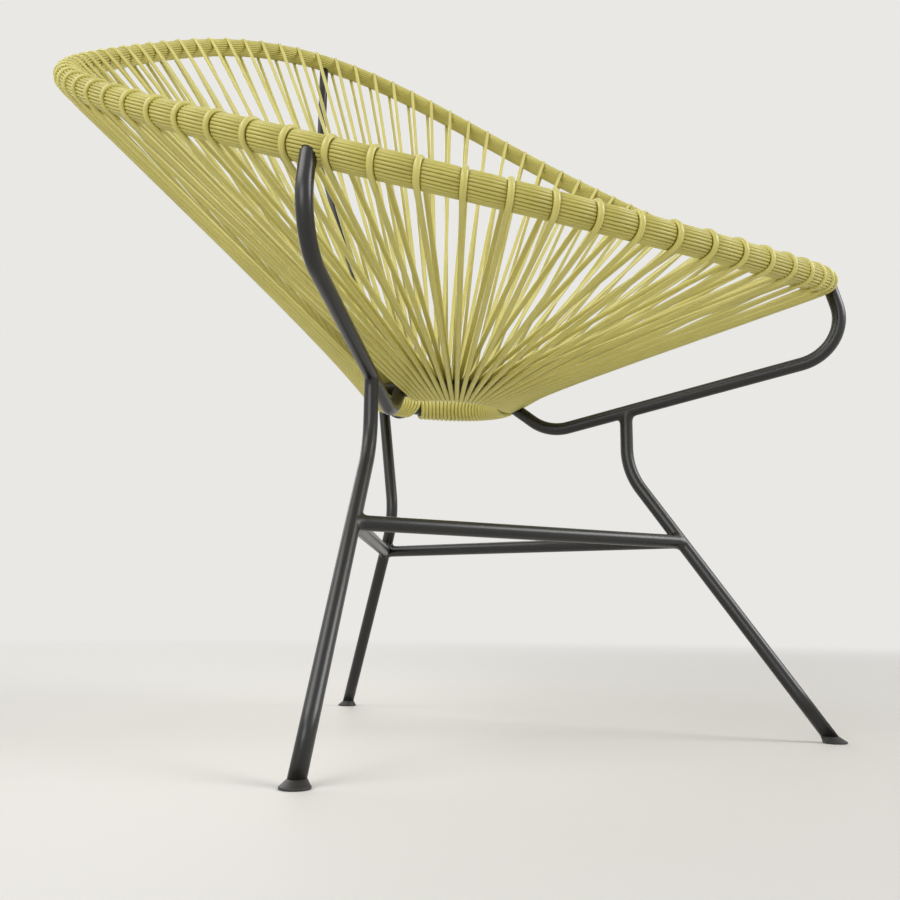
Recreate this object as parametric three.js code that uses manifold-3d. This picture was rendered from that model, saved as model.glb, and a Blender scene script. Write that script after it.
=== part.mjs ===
// A round wire-and-cord lounge chair: a tilted rim hoop and a small seat ring, joined by wound cord,
// on three bent arms, three legs, three stretchers and flared feet.
// Millimetres. +Z is up, the sitter faces -Y, and the origin is on the floor under the middle of the chair.
// Left and right are the sitter's, so the right side is at -X.

import * as THREE from 'three';
import Module from 'manifold-3d';
import { mergeVertices } from 'three/addons/utils/BufferGeometryUtils.js';
import { ParametricGeometry } from 'three/addons/geometries/ParametricGeometry.js';

const wasm = await Module();
wasm.setup();

const degrees = Math.PI / 180;
const circle = 2 * Math.PI;

// Fits
const fitGap = 0.3;

// Rim hoop: an egg, tilted back, and bowed so that its sides hang lower than its ends
const rimTubeDiameter = 16;
const rimHalfWidth = 376.6;
const rimHalfLength = 420;
const rimBow = 25.6;
const rimCentreHeight = 591.8;
const rimTilt = 35.45 * degrees;
const rimAcrossShares = [1, 0.032, 0.024, 0.002, 0.003];
const rimAlongShares = [1, -0.028, 0.036, -0.018, -0.007];
const rimBowShares = [1, -0.18, 0.07, -0.05];
const rimSteps = 72;
const rimSides = 8;

// Jacket of strands laid along the hoop
const strandDiameter = 2.6;
const jacketRadius = rimTubeDiameter / 2 + fitGap + strandDiameter;
const jacketSides = 12;

// Seat ring
const ringTubeDiameter = 16;
const ringRadius = 64.5;
const ringCentreHeight = 316;
const ringSetback = -16;
const ringTilt = 4 * degrees;
const ringSteps = 40;
const ringSides = 12;

// Seat cord, wound round the rim and the ring. Loops are counted from the middle of the front.
const cordDiameter = 4.5;
const cordSides = 6;
const cordLeastGap = 0.75;
const frontLoops = 17;
const sideLoops = 33;
const rimCorners = 4;
const ringLeanShares = [0, 0.85, 1];
const pathEndShare = 0.5;

// Side frames: an arm, a leg and a foot in one upright plane. The three planes meet in one upright line.
const planesSetback = 35.6;
const armTubeDiameter = 12;
const legTubeDiameter = 12;
const tubeSides = 12;
const bendSteps = 5;
const armLowBend = 45;
const armHighBend = 42;
const kneeBend = 68;
const armTipDrop = 3;

const frontSizes = {
  armLowReach: 140, armLowHeight: 281, armHighReach: 420.5, armHighHeight: 337.1,
  armTipSetout: 4.2, legTopShare: 0.275, kneeReach: 217.2, kneeHeight: 239, footReach: 386.6,
};
const rearSizes = {
  armLowReach: 64.4, armLowHeight: 318, armHighReach: 315, armHighHeight: 733.6,
  armTipSetout: 1, legTopShare: 0.131, kneeReach: 58.6, kneeHeight: 206.5, footReach: 170.9,
};

// Stretchers
const stretcherTubeDiameter = 12;
const stretcherHeight = 171;

// Feet: a flared cone under the tube's end, with a stem up inside it
const footDiameter = 20;
const footEdgeHeight = 1.5;
const footHeight = 5.5;
const stemDiameter = 7;
const stemLength = 18;
const footSides = 20;

// Finishes
const powderCoat = new THREE.MeshStandardMaterial({ color: 0x0c0c0d, roughness: 0.38, metalness: 0.25 });
const cordVinyl = new THREE.MeshStandardMaterial({ color: 0xcfc86e, roughness: 0.42, metalness: 0 });
const strandVinyl = new THREE.MeshStandardMaterial({ color: 0xc9c26a, roughness: 0.45, metalness: 0 });
const footPlastic = new THREE.MeshStandardMaterial({ color: 0x111111, roughness: 0.5, metalness: 0 });

const up = new THREE.Vector3(0, 0, 1);

// Solids, for cuts and joins

function solidOf(geometry) {
  const bare = geometry.clone();
  bare.deleteAttribute('normal');
  bare.deleteAttribute('uv');
  const merged = mergeVertices(bare);
  const vertProperties = new Float32Array(merged.attributes.position.array);
  const triVerts = new Uint32Array(merged.index.array);
  return new wasm.Manifold(new wasm.Mesh({ numProp: 3, vertProperties, triVerts }));
}

function geometryOf(solid) {
  const mesh = solid.getMesh();
  const geometry = new THREE.BufferGeometry();
  geometry.setAttribute('position', new THREE.BufferAttribute(new Float32Array(mesh.vertProperties), 3));
  geometry.setIndex(new THREE.BufferAttribute(new Uint32Array(mesh.triVerts), 1));
  geometry.computeVertexNormals();
  return geometry;
}

function cutBy(geometry, cutters) {
  return geometryOf(cutters.reduce((solid, cutter) => solid.subtract(solidOf(cutter)), solidOf(geometry)));
}

function named(name, geometry, material) {
  const mesh = new THREE.Mesh(geometry, material);
  mesh.name = name;
  return mesh;
}

// The rim's middle line. Its angle is 0 at the front and grows towards +X, and so does the ring's.

function waves(shares, wave, firstCount, angle) {
  return shares.reduce((sum, share, order) => sum + share * wave((order + firstCount) * angle), 0);
}

function rimPoint(angle) {
  const across = rimHalfWidth * waves(rimAcrossShares, Math.sin, 1, angle);
  const along = -rimHalfLength * waves(rimAlongShares, Math.cos, 1, angle);
  const raised = rimBow * waves(rimBowShares, Math.cos, 2, angle);
  return new THREE.Vector3(
    across,
    along * Math.cos(rimTilt) - raised * Math.sin(rimTilt),
    rimCentreHeight + along * Math.sin(rimTilt) + raised * Math.cos(rimTilt),
  );
}

const rimNormal = new THREE.Vector3(0, -Math.sin(rimTilt), Math.cos(rimTilt));

function rimTangent(angle) {
  const nudge = degrees / 2;
  return rimPoint(angle + nudge).sub(rimPoint(angle - nudge)).normalize();
}

// A closed tube round the rim's middle line
function rimTube(radius, sides) {
  const surface = (along, round, target) => {
    const angle = circle * along;
    const tangent = rimTangent(angle);
    const outward = tangent.clone().cross(rimNormal).normalize();
    const upward = outward.clone().cross(tangent);
    const turn = circle * round;
    target.copy(rimPoint(angle));
    target.addScaledVector(outward, radius * Math.cos(turn)).addScaledVector(upward, radius * Math.sin(turn));
  };
  return new ParametricGeometry(surface, rimSteps, sides);
}

function ringPoint(angle) {
  const along = -ringRadius * Math.cos(angle);
  return new THREE.Vector3(
    ringRadius * Math.sin(angle),
    ringSetback + along * Math.cos(ringTilt),
    ringCentreHeight + along * Math.sin(ringTilt),
  );
}

function ringTangent(angle) {
  const along = Math.sin(angle);
  return new THREE.Vector3(Math.cos(angle), along * Math.cos(ringTilt), along * Math.sin(ringTilt));
}

function ringTube(radius) {
  const geometry = new THREE.TorusGeometry(ringRadius, radius, ringSides, ringSteps);
  geometry.rotateX(ringTilt);
  geometry.translate(0, ringSetback, ringCentreHeight);
  return geometry;
}

// A bent tube's middle line: straight runs between corners, each inner corner rounded to its bend. Two bends
// share the run between them, and a bend may use the whole of an end run.
class BentLine extends THREE.Curve {
  constructor(corners, bends) {
    super();
    this.stations = [];
    const last = corners.length - 1;
    this.addStation(corners[0], corners[1].clone().sub(corners[0]));
    for (let k = 1; k < last; k += 1) {
      const shares = [k === 1 ? 1 : 0.5, k + 1 === last ? 1 : 0.5];
      this.addBend(corners.slice(k - 1, k + 2), shares, bends[k - 1]);
    }
    this.addStation(corners[last], corners[last].clone().sub(corners[last - 1]));
    this.steps = this.stations.length - 1;
  }

  addStation(point, direction) {
    this.stations.push({ point, tangent: direction.normalize() });
  }

  addBend([before, corner, after], shares, radius) {
    const arriving = corner.clone().sub(before);
    const leaving = after.clone().sub(corner);
    const turn = arriving.angleTo(leaving);
    const room = Math.min(shares[0] * arriving.length(), shares[1] * leaving.length());
    const bend = Math.min(radius, room / Math.tan(turn / 2));
    const start = corner.clone().addScaledVector(arriving.normalize(), -bend * Math.tan(turn / 2));
    const axis = arriving.clone().cross(leaving).normalize();
    const spoke = arriving.clone().cross(axis).multiplyScalar(bend);
    const centre = start.clone().sub(spoke);
    for (let step = 0; step <= bendSteps; step += 1) {
      const turned = turn * step / bendSteps;
      const point = spoke.clone().applyAxisAngle(axis, turned).add(centre);
      this.addStation(point, arriving.clone().applyAxisAngle(axis, turned));
    }
  }

  getPointAt(share) {
    return this.stations[Math.round(share * this.steps)].point.clone();
  }

  getTangentAt(share) {
    return this.stations[Math.round(share * this.steps)].tangent.clone();
  }
}

function roundTube(line, diameter) {
  const section = new THREE.Shape(new THREE.Path().absarc(0, 0, diameter / 2, 0, circle).getPoints(tubeSides / 2));
  return new THREE.ExtrudeGeometry(section, { steps: line.steps, extrudePath: line, bevelEnabled: false });
}

// Side frames. In a frame's own group, X is the reach outwards from the line where the planes meet.

const loops = frontLoops + 2 * sideLoops;
const loopAngle = circle / loops;
const armRimAngle = frontLoops / 2 * loopAngle;

function makeSideFrame(name, rimAngle, sizes) {
  const rim = rimPoint(rimAngle);
  const group = new THREE.Group();
  group.position.set(0, planesSetback, 0);
  group.rotation.z = Math.atan2(rim.y - planesSetback, rim.x);
  group.updateMatrix();
  return { name, group, sizes, rim: rim.applyMatrix4(group.matrix.clone().invert()) };
}

const sideFrames = [
  makeSideFrame('front_right', -armRimAngle, frontSizes),
  makeSideFrame('front_left', armRimAngle, frontSizes),
  makeSideFrame('rear', Math.PI, rearSizes),
];

function inPlane(reach, height) {
  return new THREE.Vector3(reach, 0, height);
}

function inFrame(frame, geometry) {
  return geometry.clone().applyMatrix4(frame.group.matrix.clone().invert());
}

// Where a frame's plane crosses a circle about the ring's middle: its reach, its angle round the ring, and
// how far it slants from square
function ringCrossing(frame, radius) {
  const middle = new THREE.Vector3(0, ringSetback, 0).applyMatrix4(frame.group.matrix.clone().invert());
  const reach = middle.x + Math.sqrt(radius ** 2 - middle.y ** 2);
  const point = inPlane(reach, 0).applyMatrix4(frame.group.matrix);
  const angle = Math.atan2(point.x, ringSetback - point.y);
  return { reach, angle, slant: Math.asin(Math.abs(middle.y) / radius) };
}

function armCorners(frame) {
  const { sizes, rim } = frame;
  const seat = ringCrossing(frame, ringRadius);
  return [
    inPlane(seat.reach, ringPoint(seat.angle).z),
    inPlane(sizes.armLowReach, sizes.armLowHeight),
    inPlane(sizes.armHighReach, sizes.armHighHeight),
    inPlane(rim.x + sizes.armTipSetout, rim.z - armTipDrop),
  ];
}

function armTube(frame, diameter, tipRise) {
  const corners = armCorners(frame);
  const tip = corners[3];
  tip.addScaledVector(tip.clone().sub(corners[2]).normalize(), tipRise);
  return roundTube(new BentLine(corners, [armLowBend, armHighBend]), diameter);
}

function makeArm(frame) {
  const cutters = [
    inFrame(frame, ringTube(ringTubeDiameter / 2 + fitGap)),
    inFrame(frame, rimTube(rimTubeDiameter / 2 + fitGap, rimSides)),
  ];
  return cutBy(armTube(frame, armTubeDiameter, 0), cutters);
}

function legTop(frame) {
  const corners = armCorners(frame);
  return corners[1].lerp(corners[2], frame.sizes.legTopShare);
}

function knee(frame) {
  return inPlane(frame.sizes.kneeReach, frame.sizes.kneeHeight);
}

function shinDirection(frame) {
  return knee(frame).sub(inPlane(frame.sizes.footReach, 0)).normalize();
}

// The point of the leg's middle line below the knee at a given height
function shinPoint(frame, height) {
  const foot = inPlane(frame.sizes.footReach, 0);
  return foot.lerp(knee(frame), height / frame.sizes.kneeHeight);
}

function shinRod(frame, diameter, bottomHeight, top) {
  return roundTube(new BentLine([shinPoint(frame, bottomHeight), top], []), diameter);
}

function stemTop(frame, length) {
  return shinPoint(frame, footHeight).addScaledVector(shinDirection(frame), length);
}

function legTube(frame, diameter) {
  return roundTube(new BentLine([legTop(frame), knee(frame), shinPoint(frame, 0)], [kneeBend]), diameter);
}

function makeLeg(frame) {
  const floorBlock = new THREE.BoxGeometry(2 * footDiameter, 2 * footDiameter, 2 * (footHeight + fitGap));
  floorBlock.translate(frame.sizes.footReach, 0, 0);
  const arm = armTube(frame, armTubeDiameter + 2 * fitGap, 0);
  const bore = shinRod(frame, stemDiameter + 2 * fitGap, 0, stemTop(frame, stemLength + fitGap));
  return cutBy(legTube(frame, legTubeDiameter), [arm, floorBlock, bore]);
}

// The foot's cone leans with the leg, and its top is as long as the tube's level cut
function makeFoot(frame) {
  const tubeRadius = legTubeDiameter / 2;
  const profile = [
    new THREE.Vector2(0, 0),
    new THREE.Vector2(footDiameter / 2, 0),
    new THREE.Vector2(footDiameter / 2, footEdgeHeight),
    new THREE.Vector2(tubeRadius, footHeight),
    new THREE.Vector2(0, footHeight),
  ];
  const cone = new THREE.LatheGeometry(profile, footSides).rotateX(Math.PI / 2);
  const direction = shinDirection(frame);
  const lean = direction.x / direction.z;
  const points = cone.attributes.position;
  for (let k = 0; k < points.count; k += 1) {
    const share = Math.max(points.getZ(k) - footEdgeHeight, 0) / (footHeight - footEdgeHeight);
    const stretch = THREE.MathUtils.lerp(1, 1 / direction.z, share);
    points.setX(k, points.getX(k) * stretch + lean * share * footHeight);
  }
  cone.translate(frame.sizes.footReach, 0, 0);
  const stem = shinRod(frame, stemDiameter, footHeight / 2, stemTop(frame, stemLength));
  return geometryOf(solidOf(cone).add(solidOf(stem)));
}

// Stretchers, each from leg to leg

function legJoint(frame) {
  return shinPoint(frame, stretcherHeight).applyMatrix4(frame.group.matrix);
}

function legTubeInPlace(frame) {
  return legTube(frame, legTubeDiameter + 2 * fitGap).applyMatrix4(frame.group.matrix);
}

function stretcherTube(from, to, diameter, overrun) {
  const [start, end] = [legJoint(from), legJoint(to)];
  const direction = end.clone().sub(start).normalize();
  start.addScaledVector(direction, -overrun);
  end.addScaledVector(direction, overrun);
  return roundTube(new BentLine([start, end], []), diameter);
}

function makeStretcher(from, to, otherCutters) {
  const cutters = [legTubeInPlace(from), legTubeInPlace(to), ...otherCutters];
  return cutBy(stretcherTube(from, to, stretcherTubeDiameter, 0), cutters);
}

// Jacket: a sleeve over the hoop, notched where each arm comes in

function makeJacket() {
  const bore = rimTube(rimTubeDiameter / 2 + fitGap, rimSides);
  const notches = sideFrames.map((frame) => (
    armTube(frame, armTubeDiameter + 2 * fitGap, fitGap).applyMatrix4(frame.group.matrix)
  ));
  return cutBy(rimTube(jacketRadius, jacketSides), [bore, ...notches]);
}

// Seat cord. A loop is a belt round the rim and the ring: up outside, over the rim, down inside, under the ring.

const cordRadius = cordDiameter / 2;
const ringCorners = ringLeanShares.length;
const [frontRightFrame, frontLeftFrame, rearFrame] = sideFrames;
const seatInside = ringCrossing(frontLeftFrame, ringRadius);
const seatOutside = ringCrossing(frontLeftFrame, ringRadius + ringTubeDiameter / 2 + cordDiameter);
const seatHalfWidth = armTubeDiameter / 2 / Math.cos(seatInside.slant) + cordRadius + cordLeastGap;
const seatHalfAngle = seatHalfWidth / (ringRadius + ringTubeDiameter / 2);
const seatIndex = Math.floor(seatInside.angle / loopAngle);
const lastIndex = (loops - 1) / 2;

// The ring angle of a loop's outer side: the loops part evenly to leave room for the arms' ends
function outerAngle(index) {
  const count = Math.abs(index);
  if (count <= seatIndex) {
    return index / seatIndex * (seatOutside.angle - seatHalfAngle);
  }
  if (count > lastIndex) {
    return Math.sign(index) * circle + outerAngle(index - Math.sign(index) * loops);
  }
  const sideStart = seatInside.angle + seatHalfAngle;
  const sideEnd = Math.PI - seatHalfAngle;
  const share = (count - seatIndex - 1) / (lastIndex - seatIndex - 1);
  return Math.sign(index) * THREE.MathUtils.lerp(sideStart, sideEnd, share);
}

// A corner of the belt round a tube: turn 0 is the outer side, and a quarter turn is the side along the pull
function beltCorner(centre, tangent, pull, turn, radius) {
  const outward = tangent.clone().cross(pull).normalize();
  const slant = Math.sin(tangent.angleTo(pull));
  const point = centre.clone();
  point.addScaledVector(outward, radius * Math.cos(turn));
  point.addScaledVector(pull, radius * Math.sin(turn) / slant);
  const side = tangent.clone().addScaledVector(pull, -tangent.dot(pull)).normalize();
  return { point, side, pull };
}

function chordSag(radius, steps) {
  return radius * (1 - Math.cos(Math.PI / steps));
}

function cornerRadius(tubeRadius, sag, corners) {
  return (tubeRadius + fitGap + sag + cordRadius) / Math.cos(Math.PI / corners / 2);
}

function rimWrap(index) {
  const angle = index * loopAngle;
  const centre = rimPoint(angle);
  const ringMiddle = ringPoint(outerAngle(index)).lerp(ringPoint((index + 0.5) * loopAngle), 0.5);
  const pull = centre.clone().sub(ringMiddle).normalize();
  const radius = cornerRadius(jacketRadius, chordSag(rimHalfLength, rimSteps), rimCorners);
  const corners = [];
  for (let k = 0; k < rimCorners; k += 1) {
    const turn = Math.PI * (k + 0.5) / rimCorners;
    corners.push({ ...beltCorner(centre, rimTangent(angle), pull, turn, radius), halfWidth: cordRadius });
  }
  return corners;
}

// A corner under the ring, between the inner side of the loop before and the outer side of this loop
function ringCorner(index, k) {
  const angle = THREE.MathUtils.lerp((index - 0.5) * loopAngle, outerAngle(index), ringLeanShares[k]);
  const centre = ringPoint(angle);
  const rimAngle = (index - 1 + (k + 0.5) / ringCorners) * loopAngle;
  const pull = rimPoint(rimAngle).sub(centre).normalize();
  const radius = cornerRadius(ringTubeDiameter / 2, chordSag(ringRadius, ringSteps), ringCorners);
  const turn = Math.PI + Math.PI * (k + 0.5) / ringCorners;
  return beltCorner(centre, ringTangent(angle), pull, turn, radius);
}

// The room between a corner and the same corner of a neighbouring wrap, square to the cord on either side of it
function spacing(index, k, neighbour) {
  const { point, pull } = ringCorner(index, k);
  const apart = ringCorner(neighbour, k).point.clone().sub(point);
  const before = k === 0 ? pull : point.clone().sub(ringCorner(index, k - 1).point).normalize();
  const after = k === ringCorners - 1 ? pull : ringCorner(index, k + 1).point.clone().sub(point).normalize();
  return Math.min(apart.clone().cross(before).length(), apart.clone().cross(after).length());
}

function ringWrap(index) {
  const corners = [];
  for (let k = 0; k < ringCorners; k += 1) {
    const apart = Math.min(spacing(index, k, index - 1), spacing(index, k, index + 1));
    const room = (apart - cordLeastGap) / 2 / Math.sin(circle / cordSides);
    corners.push({ ...ringCorner(index, k), halfWidth: Math.min(cordRadius, room) });
  }
  return corners;
}

// The end of a length: a point on the first chord under the ring, half the least gap short of the next length
function pathEnd(from, to, side) {
  const chord = to.point.clone().sub(from.point);
  const middle = from.point.clone().addScaledVector(chord, pathEndShare);
  middle.addScaledVector(chord.normalize(), side * cordLeastGap / 2);
  return { ...from, point: middle };
}

function cordPath(firstIndex, lastLoop) {
  const start = ringWrap(firstIndex);
  const path = [pathEnd(start[0], start[1], 1), ...start.slice(1)];
  for (let index = firstIndex; index < lastLoop; index += 1) {
    path.push(...rimWrap(index), ...ringWrap(index + 1));
  }
  const end = ringWrap(lastLoop + 1);
  path.push(...rimWrap(lastLoop), end[0], pathEnd(end[0], end[1], -1));
  return path;
}

// A six-sided cord through the corners, mitred at each, with a flat turned to its neighbours
function cordGeometry(path) {
  const last = path.length - 1;
  const positions = [];
  const faces = [];
  path.forEach((corner, k) => {
    const arriving = corner.point.clone().sub(path[Math.max(k - 1, 0)].point);
    const leaving = path[Math.min(k + 1, last)].point.clone().sub(corner.point);
    const tangent = arriving.normalize().add(leaving.normalize()).normalize();
    const mitre = k === 0 || k === last ? 1 : tangent.dot(leaving);
    const side = corner.side.clone().addScaledVector(tangent, -corner.side.dot(tangent)).normalize();
    const outward = side.clone().cross(tangent);
    for (let s = 0; s < cordSides; s += 1) {
      const turn = circle * s / cordSides;
      const point = corner.point.clone();
      point.addScaledVector(outward, cordRadius * Math.cos(turn) / mitre);
      point.addScaledVector(side, corner.halfWidth * Math.sin(turn));
      positions.push(point.x, point.y, point.z);
    }
  });
  for (let k = 0; k < last; k += 1) {
    for (let s = 0; s < cordSides; s += 1) {
      const here = k * cordSides + s;
      const beside = k * cordSides + (s + 1) % cordSides;
      faces.push(here, beside, here + cordSides, beside, beside + cordSides, here + cordSides);
    }
  }
  for (let s = 1; s < cordSides - 1; s += 1) {
    const end = last * cordSides;
    faces.push(0, s + 1, s, end, end + s, end + s + 1);
  }
  const geometry = new THREE.BufferGeometry();
  geometry.setAttribute('position', new THREE.BufferAttribute(new Float32Array(positions), 3));
  geometry.setIndex(faces);
  geometry.computeVertexNormals();
  return geometry;
}

// The least gap between a length's turns, measured from points along it to the stretches of its other turns
function leastGap(path) {
  const perLoop = rimCorners + ringCorners;
  const samplesPerStretch = 6;
  const stretch = new THREE.Line3();
  const nearest = new THREE.Vector3();
  const flat = Math.sin(circle / cordSides);
  let least = Infinity;
  for (let k = 0; k + 1 < path.length; k += 1) {
    for (let s = 0; s <= samplesPerStretch; s += 1) {
      const share = s / samplesPerStretch;
      const point = path[k].point.clone().lerp(path[k + 1].point, share);
      const half = THREE.MathUtils.lerp(path[k].halfWidth, path[k + 1].halfWidth, share) * flat;
      for (let other = k + perLoop - 2; other + 1 < Math.min(path.length, k + perLoop + 3); other += 1) {
        stretch.set(path[other].point, path[other + 1].point);
        const place = stretch.closestPointToPointParameter(point, true);
        stretch.at(place, nearest);
        const otherHalf = THREE.MathUtils.lerp(path[other].halfWidth, path[other + 1].halfWidth, place) * flat;
        least = Math.min(least, point.distanceTo(nearest) - half - otherHalf);
      }
    }
  }
  return least;
}

// The chair

const chair = new THREE.Group();
chair.add(named('rim_hoop', rimTube(rimTubeDiameter / 2, rimSides), powderCoat));
chair.add(named('rim_jacket', makeJacket(), strandVinyl));
chair.add(named('seat_ring', ringTube(ringTubeDiameter / 2), powderCoat));

for (const frame of sideFrames) {
  frame.group.add(named(`arm_${frame.name}`, makeArm(frame), powderCoat));
  frame.group.add(named(`leg_${frame.name}`, makeLeg(frame), powderCoat));
  frame.group.add(named(`foot_${frame.name}`, makeFoot(frame), footPlastic));
  chair.add(frame.group);
}

const frontStretcherRoom = stretcherTube(
  frontRightFrame, frontLeftFrame, stretcherTubeDiameter + 2 * fitGap, legTubeDiameter / 2,
);
const halfSpan = legJoint(frontLeftFrame).x;
const rightHalf = new THREE.BoxGeometry(2 * halfSpan, 4 * halfSpan, 4 * halfSpan)
  .translate(-halfSpan + fitGap / 2, 0, 0);
const leftHalf = rightHalf.clone().translate(2 * halfSpan - fitGap, 0, 0);
chair.add(named('stretcher_front', makeStretcher(frontRightFrame, frontLeftFrame, []), powderCoat));
chair.add(named(
  'stretcher_right', makeStretcher(frontRightFrame, rearFrame, [frontStretcherRoom, leftHalf]), powderCoat,
));
chair.add(named(
  'stretcher_left', makeStretcher(frontLeftFrame, rearFrame, [frontStretcherRoom, rightHalf]), powderCoat,
));

const frontLast = (frontLoops - 1) / 2;
const sideSplit = frontLast + Math.ceil(sideLoops / 2);
const lengths = [
  { name: 'seat_cord_front', first: -frontLast, last: frontLast },
  { name: 'seat_cord_left', first: frontLast + 1, last: sideSplit },
  { name: 'seat_cord_rear_left', first: sideSplit + 1, last: lastIndex },
  { name: 'seat_cord_rear_right', first: -lastIndex, last: -sideSplit - 1 },
  { name: 'seat_cord_right', first: -sideSplit, last: -frontLast - 1 },
];
for (const { name, first, last } of lengths) {
  const path = cordPath(first, last);
  console.log(`${name}: ${last - first + 1} loops, least gap ${leastGap(path).toFixed(2)} mm`);
  chair.add(named(name, cordGeometry(path), cordVinyl));
}

export default chair;
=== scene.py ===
import math

import bpy
import numpy as np
from mathutils import Matrix


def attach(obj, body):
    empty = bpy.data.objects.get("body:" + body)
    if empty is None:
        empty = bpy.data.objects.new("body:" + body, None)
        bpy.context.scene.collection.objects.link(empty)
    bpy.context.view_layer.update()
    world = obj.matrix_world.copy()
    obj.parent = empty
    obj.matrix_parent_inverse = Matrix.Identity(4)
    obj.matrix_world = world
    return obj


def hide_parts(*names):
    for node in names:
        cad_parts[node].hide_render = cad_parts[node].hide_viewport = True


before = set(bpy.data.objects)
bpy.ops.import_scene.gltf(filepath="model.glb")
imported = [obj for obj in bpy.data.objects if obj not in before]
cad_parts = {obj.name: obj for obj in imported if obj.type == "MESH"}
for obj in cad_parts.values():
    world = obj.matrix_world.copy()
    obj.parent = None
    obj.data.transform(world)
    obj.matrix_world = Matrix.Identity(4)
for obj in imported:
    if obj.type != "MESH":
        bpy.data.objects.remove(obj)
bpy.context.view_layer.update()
print("frame loaded:", len(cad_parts), "nodes")

# A round wire-and-cord lounge chair. Sizes are in millimetres here, and makePiece turns them to metres.
# +Z is up and the sitter faces -Y. Left and right are the sitter's, so the right side is at -X.

mm = 0.001
circle = 2 * math.pi


# Camera: low in front of the chair, to its right, turned and tipped as in the photograph

camera = {
    "place": (-448.9, -830.6, 102.8),
    "yaw": 29.271,  # degrees from +Y towards +X
    "pitch": 9.869,  # degrees up
    "roll": 0.5,
    "lens": 38.01,
    "sensor": 36.0,
    "nearest": 0.01,  # metres, the nearest that it sees
}


def makeCamera():
    yaw, pitch, roll = (math.radians(camera[key]) for key in ("yaw", "pitch", "roll"))
    forward = np.array([
        math.sin(yaw) * math.cos(pitch), math.cos(yaw) * math.cos(pitch), math.sin(pitch),
    ])
    level = np.array([math.cos(yaw), -math.sin(yaw), 0.0])
    upright = np.cross(level, forward)
    right = level * math.cos(roll) + upright * math.sin(roll)
    above = np.cross(right, forward)
    data = bpy.data.cameras.new("camera")
    data.lens = camera["lens"]
    data.sensor_width = camera["sensor"]
    data.clip_start = camera["nearest"]
    thing = bpy.data.objects.new("camera", data)
    place = np.array(camera["place"]) * mm
    rows = [[right[k], above[k], -forward[k], place[k]] for k in range(3)]
    thing.matrix_world = Matrix(rows + [[0, 0, 0, 1]])
    bpy.context.collection.objects.link(thing)
    bpy.context.scene.camera = thing


makeCamera()
print("camera placed")


# Materials

def hexColour(code):
    # sRGB to linear: under 0.04045 the value / 12.92, else ((value + 0.055) / 1.055) ^ 2.4
    values = [int(code[k:k + 2], 16) / 255 for k in (1, 3, 5)]
    linear = [v / 12.92 if v <= 0.04045 else ((v + 0.055) / 1.055) ** 2.4 for v in values]
    return (*linear, 1.0)


def addNode(tree, kind, settings=None, links=None):
    # A node of a kind. Its settings go by an attribute's name, or a socket's name or number, and its incoming
    # links by a socket's.
    node = tree.nodes.new(kind)
    for key, value in (settings or {}).items():
        if isinstance(key, str) and hasattr(node, key):
            setattr(node, key, value)
        else:
            node.inputs[key].default_value = value
    for key, source in (links or {}).items():
        tree.links.new(source, node.inputs[key])
    return node


def newMaterial(name):
    material = bpy.data.materials.new(name)
    material.use_nodes = True
    material.node_tree.nodes.clear()
    return material, material.node_tree


def colourRamp(tree, source, stops):
    # A ramp through (place, hex colour) stops
    ramp = addNode(tree, "ShaderNodeValToRGB", links={"Fac": source})
    elements = ramp.color_ramp.elements
    while len(elements) < len(stops):
        elements.new(0.5)
    for element, (place, code) in zip(elements, stops):
        element.position = place
        element.color = hexColour(code)
    return ramp.outputs["Color"]


def spread(tree, source, low, high):
    # low + (high - low) x source, for a source from 0 to 1
    ranged = addNode(tree, "ShaderNodeMapRange", {"To Min": low, "To Max": high}, {"Value": source})
    return ranged.outputs["Result"]


# Satin powder coat on mild steel: polyester powder, sprayed and baked. It flows into a faint orange peel, so
# highlights are soft edged and run unbroken along the tubes.
powderCoatOnSteel = {
    "colours": ((0.3, "#080809"), (0.7, "#0d0d0e")),
    "cloudSize": 60.0,
    "peelLumps": (2.4, 1.0),  # size and detail: orange peel is 1 to 3 mm from crest to crest
    "peelHeight": 0.006,
    "roughness": (0.32, 0.4),
    "dustColour": "#2a2925",
    "dustHeight": 26.0,  # a little dust lies on the lowest stretch of the legs
    "dustLumps": (6.0, 5.0, 0.7),  # size, detail and roughness
    "shader": {"IOR": 1.5, "Coat Weight": 0.2, "Coat Roughness": 0.25},
}

# Flexible PVC cord, extruded: smooth and satin, with fine lines along it from the die
flexiblePvcCord = {
    "colours": ((0.25, "#c2b963"), (0.55, "#cbc26a"), (0.8, "#d3ca74")),
    "cloudSize": 55.0,
    "sheenSize": 11.0,  # patches that shine a little more or less
    "dieLines": 9,  # lines round the cord
    "lineHeight": 0.006,
    "skinSize": 1.2,
    "skinHeight": 0.004,
    "roughness": (0.3, 0.42),
    "shader": {"IOR": 1.52, "Coat Weight": 0.12, "Coat Roughness": 0.2},
}

# The jacket's thinner PVC strands: the same plastic as the cord, with its colours painted a little darker all
# over as painted shade, for the shade between strands that lie close together
thinPvcStrandPaintedShade = {
    # painted shade: the cord's colours made darker, all over the strands
    "colours": ((0.25, "#bab15c"), (0.55, "#c4bb64"), (0.8, "#ccc36d")),
    "cloudSize": 38.0,
    "sheenSize": 7.6,
    "dieLines": 5,
    "lineHeight": 0.006,
    "skinSize": 1.0,
    "skinHeight": 0.004,
    "roughness": (0.4, 0.5),
    "shader": {"IOR": 1.52, "Coat Weight": 0.05, "Coat Roughness": 0.2},
}

# Injection-moulded nylon glides, with a fine spark-eroded texture and scuffs at the floor
mouldedNylonFoot = {
    "colours": ((0.3, "#0e0e0e"), (0.7, "#171716")),
    "grainSize": 0.5,
    "grainHeight": 0.03,
    "roughness": (0.45, 0.6),
    "scuffColour": "#3a3935",
    "scuffHeight": 1.6,
    "scuffLumps": (2.0, 4.0, 0.7),  # size, detail and roughness
    "shader": {"IOR": 1.53},
}


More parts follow.
